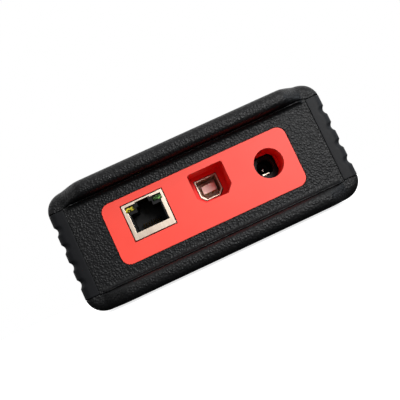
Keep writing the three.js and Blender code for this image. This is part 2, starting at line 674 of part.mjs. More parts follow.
// A leaf that bows up from the floor of the barrel and presses on the plug's sleeve.
function dcSpringLeaf() {
  const { width, thickness, frontDepth, length, bow } = dcSpring;
  const floor = dcJack.centerZ - Math.sqrt((dcBarrel.diameter / 2) ** 2 - (width / 2) ** 2) + gap;
  const outline = polygon([
    [frontDepth, floor],
    [frontDepth + length / 2, floor + bow],
    [frontDepth + length, floor],
    [frontDepth + length, floor + thickness],
    [frontDepth + length / 2, floor + bow + thickness],
    [frontDepth, floor + thickness],
  ]);
  return alongX(outline, dcJack.centerX - width / 2, dcJack.centerX + width / 2);
}

// ---- probe header and its latches, in the probe end's frame ----

function probeHeaderShroud() {
  const earX = headerHalfSpan + headerEnd.earReach;
  const halfZ = header.height / 2;
  const innerZ = halfZ - headerMouth.wall;
  const coreX = headerHalfSpan - headerEnd.wallInset + header.pitch / 2 + gap;
  const front = -headerMouth.reach;
  const channelEnd = headerEnd.toeFloorDepth;
  const { depth } = header;
  const bottom = headerZ - halfZ;
  const top = headerZ + halfZ;
  const core = block(-headerHalfSpan, headerHalfSpan, front, depth, bottom, top);
  const ears = block(-earX, earX, headerEnd.earDepth, depth, bottom, top);
  const far = earX + beyond;
  const { floorDepth } = headerMouth;
  const mouth = block(-far, far, front - beyond, floorDepth, headerZ - innerZ, headerZ + innerZ);
  const toeRooms = signs.map((side) => {
    const inner = side * coreX;
    const outer = side * far;
    const [x0, x1] = [Math.min(inner, outer), Math.max(inner, outer)];
    return block(x0, x1, front - beyond, channelEnd, headerZ - innerZ, headerZ + innerZ);
  });
  const pinHoleDiameter = latch.trunnion + 2 * latch.trunnionGap;
  const pinHoles = signs.map((side) => rodZ(
    pinHoleDiameter, bottom - beyond, top + beyond, side * latchPivotX, latch.pivotDepth, roundSides,
  ));
  const keyHalf = headerMouth.keyWidth / 2;
  const key = block(-keyHalf, keyHalf, front - beyond, floorDepth, bottom - beyond, headerZ);
  return core.add(ears).subtract(joined([mouth, key, ...toeRooms, ...pinHoles]));
}

// A lever with a hook over the socket's shoulder and a toe that pushes the socket out.
function ejectorLatch() {
  const halfZ = header.height / 2 - headerMouth.wall - gap / 2;
  const half = latch.thickness / 2;
  const tip = -latch.reach;
  const hookBack = -headerMouth.reach - latchHook.frontGap;
  const toeFront = latch.pivotDepth + latchToe.drop;
  const toeBack = toeFront + latchToe.depth;
  const outline = polygon([
    [half, toeBack - half],
    [half - latchToe.drop - half / 2, toeBack],
    [-latchToe.inward, toeBack],
    [-latchToe.inward, toeFront],
    [-half, toeFront],
    [-half, hookBack],
    [-half - latchHook.inward, hookBack],
    [-half - latchHook.inward, hookBack - latchHook.depth / 2],
    [-half, hookBack - latchHook.depth],
    [-half, tip],
    [half / 2, tip],
    [half, tip + half],
  ]);
  const lever = alongZ(outline, headerZ - halfZ, headerZ + halfZ);
  const pinHalf = header.height / 2 - gap / 2;
  const pin = rodZ(latch.trunnion, headerZ - pinHalf, headerZ + pinHalf, 0, latch.pivotDepth, roundSides);
  return lever.add(pin);
}

function statusLightPipe() {
  const { diameter, proud, length, centerX, centerZ } = statusLight;
  return rodY(diameter, -proud, length, centerX, centerZ, smallRoundSides);
}

// ---- boards and what stands on them ----

// A board with a notch in its front edge, which clears the bezel's duct.
function circuitBoard(z0, notch) {
  const outline = roundedRectangle(boardHalfWidth, boardHalfLength, board.cornerRadius);
  const plate = alongZ(outline, z0, z0 + board.thickness);
  const holes = corners.map(([sideX, sideY]) => rodZ(
    standoffSeat.hole, z0 - beyond, z0 + board.thickness + beyond, sideX * standoffX, sideY * standoffY,
  ));
  const half = notch.halfWidth + board.notchGap;
  const notchBack = notch.depth + board.notchGap - faceY;
  const cut = block(
    notch.x - half, notch.x + half, -halfLength, notchBack, z0 - beyond, z0 + board.thickness + beyond,
  );
  return plate.subtract(joined([...holes, cut]));
}

// A hexagonal spacer with a threaded stud below and a threaded socket above.
function hexStandoff() {
  const bottom = powerBoardZ + gap;
  const top = mainBoardZ - gap;
  const radius = standoff.acrossFlats / Math.sqrt(3);
  const body = new THREE.CylinderGeometry(radius, radius, top - bottom, hexagonSides);
  body.rotateX(Math.PI / 2).translate(0, 0, (top + bottom) / 2);
  const stud = rodZ(standoff.stud, bottom - standoff.studLength, bottom + gap, 0, 0);
  const socket = rodZ(standoffSeat.hole, top - standoff.socketDepth, top + beyond, 0, 0);
  return toSolid(body).add(stud).subtract(socket);
}

function chip(part, z) {
  const width = part.width ?? part.size;
  const length = part.length ?? part.size;
  return block(-width / 2, width / 2, -length / 2, length / 2, z, z + part.height);
}

function finnedHeatsink(z) {
  const half = heatsink.size / 2;
  const base = block(-half, half, -half, half, z, z + heatsink.base);
  const step = (heatsink.size - heatsink.finThickness) / (heatsink.fins - 1);
  const fins = Array.from({ length: heatsink.fins }, (_, index) => {
    const x0 = index * step - half;
    return block(x0, x0 + heatsink.finThickness, -half, half, z + heatsink.base / 2, z + heatsink.height);
  });
  return joined([base, ...fins]);
}

function canCapacitor(z) {
  const radius = capacitor.diameter / 2;
  const top = capacitor.height;
  return turned([
    [0, 0],
    [radius, 0],
    [radius, top * canBead.low],
    [radius * canBead.neck, top * canBead.middle],
    [radius, top * canBead.high],
    [radius, top * canTop.start],
    [radius * canTop.radius, top],
    [0, top],
  ]).translate([0, 0, z]);
}

function powerInductor(z) {
  const half = inductor.size / 2;
  const cut = half - inductor.chamfer;
  const outline = polygon([
    [half, cut], [cut, half], [-cut, half], [-half, cut],
    [-half, -cut], [-cut, -half], [cut, -half], [half, -cut],
  ]);
  return alongZ(outline, z, z + inductor.height);
}

// The lower half of the board-to-board connector, with its posts standing in one moulded strip.
function stackingHeader() {
  const halfX = (stack.columns * stack.pitch) / 2;
  const halfY = (stack.rows * stack.pitch) / 2;
  const half = stackHeader.post / 2;
  const z = powerBoardZ + gap;
  const postFoot = z + stackHeader.base / 2;
  const postTop = z + stackHeader.base + stackHeader.postReach;
  const strip = block(-halfX, halfX, -halfY, halfY, z, z + stackHeader.base);
  const posts = [];
  for (let column = 0; column < stack.columns; column += 1) {
    for (let row = 0; row < stack.rows; row += 1) {
      const x = (column + 1 / 2) * stack.pitch - halfX;
      const y = (row + 1 / 2) * stack.pitch - halfY;
      posts.push(block(x - half, x + half, y - half, y + half, postFoot, postTop));
    }
  }
  return joined([strip, ...posts]);
}

function stackingSocket() {
  const halfX = (stack.columns * stack.pitch) / 2;
  const halfY = (stack.rows * stack.pitch) / 2;
  const top = mainBoardZ - gap;
  const bottom = top - stackSocket.height;
  const body = block(-halfX, halfX, -halfY, halfY, bottom, top);
  const wall = (stack.pitch - stackHeader.post) / 2 - gap;
  const roof = top - stackSocket.roof;
  const innerX = halfX - wall;
  const innerY = halfY - wall;
  return body.subtract(block(-innerX, innerX, -innerY, innerY, bottom - beyond, roof));
}

// ---- assembly ----

function caseAssembly() {
  const group = new THREE.Group();
  const skin = caseSkin();
  const rightGrip = node('right_grip', sideGrip(), gripElastomer);
  const leftGrip = node('left_grip', sideGrip(), gripElastomer);
  leftGrip.rotation.z = Math.PI;
  group.add(node('top_shell', topShell(skin), blackAbs));
  group.add(node('bottom_shell', bottomShell(skin), blackAbs));
  group.add(rightGrip, leftGrip);
  corners.forEach(([sideX, sideY], index) => {
    const { length, shank, head, headHeight } = caseScrew;
    const screwSolid = machineScrew(length, shank, head, headHeight);
    const screw = node(`case_screw_${index + 1}`, screwSolid, zincSteel);
    const seatZ = caseScrewSeat.recess - halfHeight - gap;
    screw.rotation.x = Math.PI;
    screw.position.set(sideX * caseScrewX, sideY * caseScrewY, seatZ + length);
    const pad = node(`foot_${index + 1}`, rubberFoot(), blackRubber);
    pad.position.set(sideX * (halfWidth - foot.insetX), sideY * (faceY - foot.insetY), -midHeight);
    group.add(screw, pad);
  });
  return group;
}

function connectorEnd() {
  const group = new THREE.Group();
  group.add(node('connector_end_panel', endPanel(), blackAbs));
  group.add(node('connector_bezel', connectorBezel(), redAbs));
  group.add(node('rj45_shield', rj45Shield(), tinPlate));
  group.add(node('rj45_housing', rj45Housing(), blackNylon));
  for (let index = 0; index < rj45Contact.count; index += 1) {
    group.add(node(`rj45_contact_${index + 1}`, rj45ContactWire(index), goldPlate));
  }
  group.add(node('rj45_yellow_light', rj45Lens(-1), amberLens));
  group.add(node('rj45_green_light', rj45Lens(1), greenLens));
  group.add(node('usb_shell', usbShellBody(), tinPlate));
  group.add(node('usb_insulator', usbInsulator(), creamNylon));
  group.add(node('dc_jack_body', dcJackBody(), blackNylon));
  group.add(node('dc_center_pin', dcCenterPin(), plainSteel));
  group.add(node('dc_spring_contact', dcSpringLeaf(), tinPlate));
  group.position.y = -faceY;
  return group;
}

// The probe end is turned round, so its own +X side is the case's left side.
function probeEnd() {
  const group = new THREE.Group();
  const leftLatch = node('left_ejector_latch', ejectorLatch(), blackNylon);
  leftLatch.position.x = latchPivotX;
  const rightLatch = node('right_ejector_latch', ejectorLatch().mirror([1, 0, 0]), blackNylon);
  rightLatch.position.x = -latchPivotX;
  group.add(node('probe_end_panel', endPanel(), blackAbs));
  group.add(node('probe_bezel', probeBezel(), redAbs));
  group.add(node('probe_header_shroud', probeHeaderShroud(), blackNylon));
  group.add(leftLatch, rightLatch);
  group.add(node('status_light_pipe', statusLightPipe(), clearLens));
  group.rotation.z = Math.PI;
  group.position.y = faceY;
  return group;
}

function boardStack() {
  const group = new THREE.Group();
  const deckZ = mainBoardZ + board.thickness + gap;
  const lowDeckZ = powerBoardZ + gap;
  const onBoard = (name, solid, look, x, y) => {
    const mesh = node(name, solid, look);
    mesh.position.set(x, y, 0);
    group.add(mesh);
  };
  const usbDuctHalf = usbDuct.halfWidth + usbDuctShell.wall;
  const dcDuctHalf = dcDuct.diameter / 2 + dcDuct.wall;
  const usbDuctEnd = usbDuctShell.depth + usbDuctShell.floor;
  const usbNotch = { x: usb.centerX, halfWidth: usbDuctHalf, depth: usbDuctEnd };
  const dcNotch = { x: dcJack.centerX, halfWidth: dcDuctHalf, depth: dcJack.frontDepth };
  onBoard('main_board', circuitBoard(mainBoardZ, usbNotch), boardLaminate, 0, 0);
  onBoard('power_board', circuitBoard(powerBoardZ - board.thickness, dcNotch), boardLaminate, 0, 0);
  corners.forEach(([sideX, sideY], index) => {
    const { length, shank, head, headHeight } = boardScrew;
    const seated = machineScrew(length, shank, head, headHeight).translate([0, 0, deckZ - length]);
    onBoard(`board_standoff_${index + 1}`, hexStandoff(), brass, sideX * standoffX, sideY * standoffY);
    onBoard(`board_screw_${index + 1}`, seated, zincSteel, sideX * standoffX, sideY * standoffY);
  });
  onBoard('fpga', chip(fpga, deckZ), chipPackage, fpga.x, fpga.y);
  onBoard('fpga_heatsink', finnedHeatsink(deckZ + fpga.height + gap), aluminium, fpga.x, fpga.y);
  for (let index = 0; index < memoryChip.count; index += 1) {
    const side = signs[index];
    const chipX = side * memoryChip.x;
    onBoard(`memory_chip_${index + 1}`, chip(memoryChip, deckZ), chipPackage, chipX, memoryChip.y);
  }
  onBoard('ethernet_chip', chip(ethernetChip, deckZ), chipPackage, ethernetChip.x, ethernetChip.y);
  onBoard('usb_controller', chip(usbChip, deckZ), chipPackage, usbChip.x, usbChip.y);
  onBoard('clock_oscillator', chip(oscillator, deckZ), plainSteel, oscillator.x, oscillator.y);
  onBoard('power_inductor', powerInductor(lowDeckZ), ferrite, inductor.x, inductor.y);
  onBoard('input_capacitor', canCapacitor(lowDeckZ), aluminium, capacitor.x, capacitor.y);
  onBoard('power_regulator', chip(regulator, lowDeckZ), chipPackage, regulator.x, regulator.y);
  onBoard('stacking_header', stackingHeader(), blackNylon, stack.x, stack.y);
  onBoard('stacking_socket', stackingSocket(), blackNylon, stack.x, stack.y);
  return group;
}

const analyzer = new THREE.Group();
analyzer.position.z = midHeight;
analyzer.add(caseAssembly(), connectorEnd(), probeEnd(), boardStack());

export default analyzer;
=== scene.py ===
import json
import math

import bmesh
import bpy
from mathutils import Matrix, Vector


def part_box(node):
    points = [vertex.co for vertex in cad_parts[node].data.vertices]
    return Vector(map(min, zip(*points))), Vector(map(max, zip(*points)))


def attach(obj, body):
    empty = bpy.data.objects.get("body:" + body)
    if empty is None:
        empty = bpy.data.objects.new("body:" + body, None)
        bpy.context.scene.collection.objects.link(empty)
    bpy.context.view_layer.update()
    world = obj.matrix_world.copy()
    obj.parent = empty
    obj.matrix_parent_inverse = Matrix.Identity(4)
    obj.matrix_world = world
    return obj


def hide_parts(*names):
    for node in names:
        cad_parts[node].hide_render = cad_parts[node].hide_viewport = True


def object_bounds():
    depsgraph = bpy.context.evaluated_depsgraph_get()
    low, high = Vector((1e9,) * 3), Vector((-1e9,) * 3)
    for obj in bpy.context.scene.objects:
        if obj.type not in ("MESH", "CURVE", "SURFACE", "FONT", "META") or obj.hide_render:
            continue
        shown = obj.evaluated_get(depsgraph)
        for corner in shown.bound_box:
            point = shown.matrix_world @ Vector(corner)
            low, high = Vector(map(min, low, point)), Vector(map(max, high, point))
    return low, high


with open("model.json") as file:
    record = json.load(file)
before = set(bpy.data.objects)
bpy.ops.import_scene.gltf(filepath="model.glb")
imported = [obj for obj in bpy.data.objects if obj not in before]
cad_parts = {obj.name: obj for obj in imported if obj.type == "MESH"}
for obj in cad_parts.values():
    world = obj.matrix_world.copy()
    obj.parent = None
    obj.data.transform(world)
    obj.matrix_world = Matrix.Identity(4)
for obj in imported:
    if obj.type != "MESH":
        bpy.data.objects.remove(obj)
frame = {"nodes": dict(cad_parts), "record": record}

mm = 0.001
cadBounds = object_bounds()
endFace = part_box("connector_bezel")[0].y  # the plane of the socket end
gripLow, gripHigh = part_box("right_grip")
middle = Vector((0, 0, (gripLow.z + gripHigh.z) / 2))  # half way up the case
print("frame loaded")


# camera, light and floor
# the camera looks at the socket end from a little low and left, rolled so that the case runs uphill
cameraPlace = {
    "side": -13.68 * mm, "drop": 16.77 * mm, "away": 203.6 * mm, "lens": 50, "sensor": 36, "nearest": 0.01,
}
cameraTurn = {"pitch": 5.359, "yaw": -1.036, "roll": -24.933}
lightSet = {
    # a soft panel a little above the camera and to its right, and a cool one low on the right
    "key": {"place": (0.410, -0.945, 0.270), "size": 0.38, "power": 8.2, "color": (1.0, 1.0, 1.0)},
    "side": {"place": (0.80, -0.20, 0.14), "size": 0.40, "power": 1.0, "color": (0.72, 0.84, 1.0)},
}
lightAim = 0.6  # how far towards the socket end the lights point, as a share of half the case
# the tent round the case: dark below and in front, brightest above and behind
tentLook = {
    "seen": 1.0, "toward": (0.25, 0.52, 0.82), "darkest": -0.6, "brightest": 1.0, "low": 0.03, "high": 1.35,
    "curve": 0.8,
}
floorLook = {"size": 6.0, "color": "d8d8d8", "bounce": "1c1c1c", "roughness": 0.9, "glow": 0.80}


# sRGB hex to the linear colour that the shaders take
def linearColor(text):
    parts = [int(text[i:i + 2], 16) / 255 for i in (0, 2, 4)]
    return tuple(c / 12.92 if c <= 0.04045 else ((c + 0.055) / 1.055) ** 2.4 for c in parts) + (1.0,)


def addNode(tree, kind, settings=(), links=()):
    node = tree.nodes.new(kind)
    for name, value in dict(settings).items():
        if isinstance(name, str) and hasattr(node, name):
            setattr(node, name, value)
        else:
            node.inputs[name].default_value = value
    for name, source in dict(links).items():
        tree.links.new(source, node.inputs[name])
    return node


def makeCamera():
    data = bpy.data.cameras.new("camera")
    data.lens = cameraPlace["lens"]
    data.sensor_width = cameraPlace["sensor"]
    data.clip_start = cameraPlace["nearest"]
    camera = bpy.data.objects.new("camera", data)
    pitch, yaw, roll = (math.radians(cameraTurn[k]) for k in ("pitch", "yaw", "roll"))
    turn = Matrix.Rotation(math.pi / 2, 4, "X") @ Matrix.Rotation(roll, 4, "Z")
    turn = turn @ Matrix.Rotation(yaw, 4, "Y") @ Matrix.Rotation(pitch, 4, "X")
    place = Vector((cameraPlace["side"], endFace - cameraPlace["away"], middle.z - cameraPlace["drop"]))
    camera.matrix_world = Matrix.Translation(place) @ turn
    bpy.context.collection.objects.link(camera)
    bpy.context.scene.camera = camera


def makeLights():
    aim = Vector((0, endFace * lightAim, middle.z))
    for name, values in lightSet.items():
        data = bpy.data.lights.new(name, "AREA")
        data.shape = "DISK"
        data.size = values["size"]
        data.energy = values["power"]
        data.color = values["color"]
        light = bpy.data.objects.new(name, data)
        light.location = values["place"]
        light.rotation_euler = (aim - light.location).to_track_quat("-Z", "Y").to_euler()
        bpy.context.collection.objects.link(light)
    world = bpy.data.worlds.new("white studio")
    world.use_nodes = True
    tree = world.node_tree
    tree.nodes.clear()
    rays = addNode(tree, "ShaderNodeLightPath")
    look = tentLook
    toward = Vector(look["toward"]).normalized()
    facing = addNode(tree, "ShaderNodeVectorMath", {"operation": "DOT_PRODUCT", 1: toward},
                     {0: addNode(tree, "ShaderNodeTexCoord").outputs["Generated"]})
    share = addNode(tree, "ShaderNodeMapRange", {
        "From Min": look["darkest"], "From Max": look["brightest"]}, {"Value": facing.outputs["Value"]})
    curve = addNode(tree, "ShaderNodeMath", {"operation": "POWER", 1: look["curve"]}, {0: share.outputs[0]})
    level = addNode(tree, "ShaderNodeMapRange", {"To Min": look["low"], "To Max": look["high"]},
                    {"Value": curve.outputs[0]})
    tent = addNode(tree, "ShaderNodeBackground", {"Color": (1, 1, 1, 1)}, {"Strength": level.outputs[0]})
    seen = addNode(tree, "ShaderNodeBackground", {"Color": (1, 1, 1, 1), "Strength": look["seen"]})
    both = addNode(tree, "ShaderNodeMixShader", links={
        0: rays.outputs["Is Camera Ray"], 1: tent.outputs[0], 2: seen.outputs[0]})
    addNode(tree, "ShaderNodeOutputWorld", links={"Surface": both.outputs[0]})
    bpy.context.scene.world = world
    bpy.context.scene.view_settings.view_transform = "Standard"


def makeFloor():
    bm = bmesh.new()
    bmesh.ops.create_grid(bm, x_segments=1, y_segments=1, size=floorLook["size"])
    mesh = bpy.data.meshes.new("floor")
    bm.to_mesh(mesh)
    bm.free()
    floor = bpy.data.objects.new("floor", mesh)
    bpy.context.collection.objects.link(floor)
    material = bpy.data.materials.new("pale studio floor")
    material.use_nodes = True
    tree = material.node_tree
    tree.nodes.clear()
    side = addNode(tree, "ShaderNodeNewGeometry")
    rays = addNode(tree, "ShaderNodeLightPath")
    glow = addNode(tree, "ShaderNodeMath", {"operation": "MULTIPLY", 1: floorLook["glow"]},
                   {0: rays.outputs["Is Camera Ray"]})
    tint = addNode(tree, "ShaderNodeMixRGB", {
        1: linearColor(floorLook["bounce"]), 2: linearColor(floorLook["color"])},
        {0: rays.outputs["Is Camera Ray"]})
    paint = addNode(tree, "ShaderNodeBsdfPrincipled", {
        "Roughness": floorLook["roughness"], "Emission Color": (1, 1, 1, 1)},
        {"Base Color": tint.outputs[0], "Emission Strength": glow.outputs[0]})
    clear = addNode(tree, "ShaderNodeBsdfTransparent")
    both = addNode(tree, "ShaderNodeMixShader", links={
        0: side.outputs["Backfacing"], 1: paint.outputs[0], 2: clear.outputs[0]})
    addNode(tree, "ShaderNodeOutputMaterial", links={"Surface": both.outputs[0]})
    mesh.materials.append(material)


makeCamera()
makeLights()
makeFloor()
print("camera, lights and floor made")


# materials
# an empty material with object coordinates, and its surface shader
def newMaterial(name):
    material = bpy.data.materials.new(name)
    material.use_nodes = True
    tree = material.node_tree
    tree.nodes.clear()
    coords = addNode(tree, "ShaderNodeTexCoord").outputs["Object"]
    shader = addNode(tree, "ShaderNodeBsdfPrincipled")
    addNode(tree, "ShaderNodeOutputMaterial", links={"Surface": shader.outputs[0]})
    return material, tree, coords, shader


# a texture's scale, for a pattern that repeats every so many millimetres
def perMetre(millimetres):
    return 1 / (millimetres * mm)


# joins a material's colour, gloss and height to its surface shader
def dressSurface(tree, shader, tint, rough, bump):
    tree.links.new(tint.outputs[0], shader.inputs["Base Color"])
    tree.links.new(rough.outputs[0], shader.inputs["Roughness"])
    tree.links.new(bump.outputs[0], shader.inputs["Normal"])


grainedAbs = {
    "dark": "0a0a0b", "light": "161718", "pebble": 0.8, "warp": 0.5, "warpSize": 2.2, "fine": 0.30,
    "fineShare": 0.22, "crease": 0.75, "depth": 0.15, "roughLow": 0.32, "roughHigh": 0.54, "shine": 0.23,
}


# black ABS moulded in a grained tool: pebbles about a millimetre wide with creases between them
def makeGrainedAbs():
    look = grainedAbs
    material, tree, coords, shader = newMaterial("grained black ABS")
    warp = addNode(tree, "ShaderNodeTexNoise", {"Scale": perMetre(look["warpSize"]), "Detail": 3.0},
                   {"Vector": coords})
    bend = addNode(tree, "ShaderNodeMixRGB", {"blend_type": "LINEAR_LIGHT", 0: look["warp"] * mm}, {
        1: coords, 2: warp.outputs["Color"]})
    pebbles = addNode(tree, "ShaderNodeTexVoronoi", {
        "feature": "SMOOTH_F1", "Scale": perMetre(look["pebble"]), "Smoothness": 0.35, "Randomness": 1.0},
        {"Vector": bend.outputs[0]})
    fine = addNode(tree, "ShaderNodeTexNoise", {"Scale": perMetre(look["fine"]), "Detail": 2.0},
                   {"Vector": coords})
    dome = addNode(tree, "ShaderNodeMapRange", {
        "From Min": 0.0, "From Max": look["crease"], "To Min": 1.0, "To Max": 0.0},
        {"Value": pebbles.outputs["Distance"]})
    height = addNode(tree, "ShaderNodeMath", {"operation": "MULTIPLY_ADD", 1: look["fineShare"]}, {
        0: fine.outputs["Fac"], 2: dome.outputs[0]})
    bump = addNode(tree, "ShaderNodeBump", {"Strength": 1.0, "Distance": look["depth"] * mm},
                   {"Height": height.outputs[0]})
    # painted highlight and shade: the pebble tops are painted lighter and the creases darker
    tint = addNode(tree, "ShaderNodeMixRGB", {1: linearColor(look["dark"]), 2: linearColor(look["light"])},
                   {0: dome.outputs[0]})
    rough = addNode(tree, "ShaderNodeMapRange", {"To Min": look["roughHigh"], "To Max": look["roughLow"]},
                    {"Value": dome.outputs[0]})
    shader.inputs["Specular IOR Level"].default_value = look["shine"]
    dressSurface(tree, shader, tint, rough, bump)
    return material


plainPlastics = {
    # name: two close colours, roughness range, speckle size and height in millimetres
    "smooth grey elastomer": {
        "dark": "0d0e10", "light": "141518", "rough": (0.46, 0.6),
        "grain": 0.32, "height": 0.012, "shine": 0.18},
    "matt red ABS": {
        "dark": "fc4637", "light": "fe5041", "rough": (0.42, 0.55),
        "grain": 0.35, "height": 0.010, "shine": 0.4,
        # the red painted on the duct walls as their shade
        "inside": "ee180c"},
    "satin black nylon": {
        "dark": "020202", "light": "060607", "rough": (0.4, 0.55),
        "grain": 0.4, "height": 0.008, "shine": 0.25},
    "black rubber": {
        "dark": "121314", "light": "1d1e20", "rough": (0.8, 0.95),
        "grain": 0.25, "height": 0.02, "shine": 0.3},
    "cream nylon": {
        "dark": "ecd2c8", "light": "f7e2da", "rough": (0.35, 0.5),
        "grain": 0.5, "height": 0.006, "shine": 0.5},
    "moulded chip epoxy": {
        "dark": "151617", "light": "1f2022", "rough": (0.5, 0.7),
        "grain": 0.2, "height": 0.01, "shine": 0.5},
    "pressed ferrite": {
        "dark": "2d2d2f", "light": "3b3b3d", "rough": (0.6, 0.8),
        "grain": 0.3, "height": 0.02, "shine": 0.5},
}


blotchSize = 9.0  # millimetres
ductShade = {"shallow": 1.2, "deep": 9.0}  # millimetres behind the end face


# painted shade: a deeper, darker red painted on the duct walls behind the end faces, where shade falls
# inside the ducts
def paintDuctShade(tree, coords, tint, inside):
    along = addNode(tree, "ShaderNodeSeparateXYZ", links={0: coords})
    away = addNode(tree, "ShaderNodeMath", {"operation": "ABSOLUTE"}, {0: along.outputs["Y"]})
    share = addNode(tree, "ShaderNodeMapRange", {
        "From Min": -endFace - ductShade["deep"] * mm, "From Max": -endFace - ductShade["shallow"] * mm},
        {"Value": away.outputs[0]})
    return addNode(tree, "ShaderNodeMixRGB", {1: linearColor(inside)},
                   {0: share.outputs[0], 2: tint.outputs[0]})


# a moulded surface: faint blotches in colour and gloss, and a fine skin from the tool
def makePlastic(name):
    look = plainPlastics[name]
    material, tree, coords, shader = newMaterial(name)
    blotch = addNode(tree, "ShaderNodeTexNoise", {"Scale": perMetre(blotchSize), "Detail": 4.0},
                     {"Vector": coords})
    grain = addNode(tree, "ShaderNodeTexNoise", {"Scale": perMetre(look["grain"]), "Detail": 2.0},
                    {"Vector": coords})
    tint = addNode(tree, "ShaderNodeMixRGB", {1: linearColor(look["dark"]), 2: linearColor(look["light"])},
                   {0: blotch.outputs["Fac"]})
    rough = addNode(tree, "ShaderNodeMapRange", {"To Min": look["rough"][0], "To Max": look["rough"][1]},
                    {"Value": grain.outputs["Fac"]})
    bump = addNode(tree, "ShaderNodeBump", {"Strength": 1.0, "Distance": look["height"] * mm},
                   {"Height": grain.outputs["Fac"]})
    # painted shade inside the ducts
    if "inside" in look:
        tint = paintDuctShade(tree, coords, tint, look["inside"])
    shader.inputs["Specular IOR Level"].default_value = look["shine"]
    dressSurface(tree, shader, tint, rough, bump)
    return material


platedMetals = {
    # name: two close colours, roughness range, length and width of the rolling marks in millimetres
    "bright tin plate": {
        "dark": "e6cfb9", "light": "f8e9d8", "rough": (0.30, 0.46), "marks": (0.25, 4.0), "height": 0.001},
    "dull zinc plate": {
        "dark": "8a8d90", "light": "a5a8ab", "rough": (0.35, 0.5), "marks": (0.4, 0.4), "height": 0.003},
    "polished steel": {
        "dark": "a39c98", "light": "c2bbb6", "rough": (0.2, 0.34), "marks": (0.2, 2.0), "height": 0.001},
    "thin gold plate": {
        "dark": "c99a3f", "light": "eac26a", "rough": (0.2, 0.34), "marks": (0.2, 2.0), "height": 0.001},
    "turned brass": {
        "dark": "b8944a", "light": "d9b96f", "rough": (0.25, 0.4), "marks": (3.0, 0.2), "height": 0.003},
    "black anodised aluminium": {
        "dark": "1c1d20", "light": "2a2c2f", "rough": (0.35, 0.5), "marks": (0.3, 5.0), "height": 0.004},
    "drawn aluminium": {
        "dark": "a9abae", "light": "d0d2d5", "rough": (0.25, 0.4), "marks": (2.0, 0.3), "height": 0.002},
}


# sheet or turned metal: fine marks along one direction that spread the highlight
def makeMetal(name):
    look = platedMetals[name]
    material, tree, coords, shader = newMaterial(name)
    across, along = look["marks"]
    stretch = addNode(tree, "ShaderNodeMapping", {
        "Scale": (perMetre(across), perMetre(along), perMetre(along))}, {"Vector": coords})
    marks = addNode(tree, "ShaderNodeTexNoise", {"Scale": 1.0, "Detail": 3.0},
                    {"Vector": stretch.outputs[0]})
    tint = addNode(tree, "ShaderNodeMixRGB", {1: linearColor(look["dark"]), 2: linearColor(look["light"])},
                   {0: marks.outputs["Fac"]})
    rough = addNode(tree, "ShaderNodeMapRange", {"To Min": look["rough"][0], "To Max": look["rough"][1]},
                    {"Value": marks.outputs["Fac"]})
    bump = addNode(tree, "ShaderNodeBump", {"Strength": 1.0, "Distance": look["height"] * mm},
                   {"Height": marks.outputs["Fac"]})
    shader.inputs["Metallic"].default_value = 1.0
    dressSurface(tree, shader, tint, rough, bump)
    return material


lensLooks = {
    # name: painted shade colour, painted light colour, cloud size in millimetres, roughness range,
    # clearness
    "yellow lamp lens": {
        "deep": "2e2b06", "bright": "efe03a", "cloud": 0.8, "rough": (0.12, 0.3), "clear": 0.1},
    "green lamp lens": {
        "deep": "1c3314", "bright": "86cf6a", "cloud": 0.8, "rough": (0.12, 0.3), "clear": 0.1},
    "frosted clear acrylic": {
        "deep": "c9d3d8", "bright": "eef3f5", "cloud": 1.4, "rough": (0.3, 0.5), "clear": 0.35},
}


# where the painted light streaks in the lenses begin and end, and how high they stand
paintedLensStreak = {"from": 0.46, "to": 0.62, "height": 0.05}


# tinted resin: glossy, with painted light: brighter streaks painted where light would come forward through
# it, and painted shade between them
def makeLens(name):
    look = lensLooks[name]
    material, tree, coords, shader = newMaterial(name)
    cloud = addNode(tree, "ShaderNodeTexNoise", {"Scale": perMetre(look["cloud"]), "Detail": 2.0},
                    {"Vector": coords})
    paintedStreak = addNode(tree, "ShaderNodeMapRange", {
        "From Min": paintedLensStreak["from"], "From Max": paintedLensStreak["to"]}, {"Value": cloud.outputs["Fac"]})
    # painted light and shade: the streaks take the bright colour, the rest the deep one
    tint = addNode(tree, "ShaderNodeMixRGB", {1: linearColor(look["deep"]), 2: linearColor(look["bright"])},
                   {0: paintedStreak.outputs[0]})
    rough = addNode(tree, "ShaderNodeMapRange", {"To Min": look["rough"][0], "To Max": look["rough"][1]},
                    {"Value": cloud.outputs["Fac"]})
    bump = addNode(tree, "ShaderNodeBump", {"Strength": 1.0, "Distance": paintedLensStreak["height"] * mm},
                   {"Height": cloud.outputs["Fac"]})
    shader.inputs["Transmission Weight"].default_value = look["clear"]
    dressSurface(tree, shader, tint, rough, bump)
    return material


laminate = {
    "mask": "12502d", "copper": "1b6a3d", "trace": 2.54, "repeat": 0.12, "edge": 0.06, "height": 0.03,
    "rough": (0.3, 0.45),
}


# glass-fibre board under green solder mask, with the copper under it showing as lighter lines
def makeLaminate():
    look = laminate
    material, tree, coords, shader = newMaterial("green solder mask")
    lines = addNode(tree, "ShaderNodeTexVoronoi", {"feature": "F1", "distance": "MANHATTAN",
                                                   "Scale": perMetre(look["trace"])}, {"Vector": coords})
    edge = addNode(tree, "ShaderNodeMath", {"operation": "PINGPONG", 1: look["repeat"]},
                   {0: lines.outputs["Distance"]})
    step = addNode(tree, "ShaderNodeMath", {"operation": "GREATER_THAN", 1: look["edge"]},
                   {0: edge.outputs[0]})
    tint = addNode(tree, "ShaderNodeMixRGB", {1: linearColor(look["mask"]), 2: linearColor(look["copper"])},
                   {0: step.outputs[0]})
    bump = addNode(tree, "ShaderNodeBump", {"Strength": 1.0, "Distance": look["height"] * mm},
                   {"Height": step.outputs[0]})
    rough = addNode(tree, "ShaderNodeMapRange", {"To Min": look["rough"][0], "To Max": look["rough"][1]},
                    {"Value": step.outputs[0]})
    dressSurface(tree, shader, tint, rough, bump)
    return material


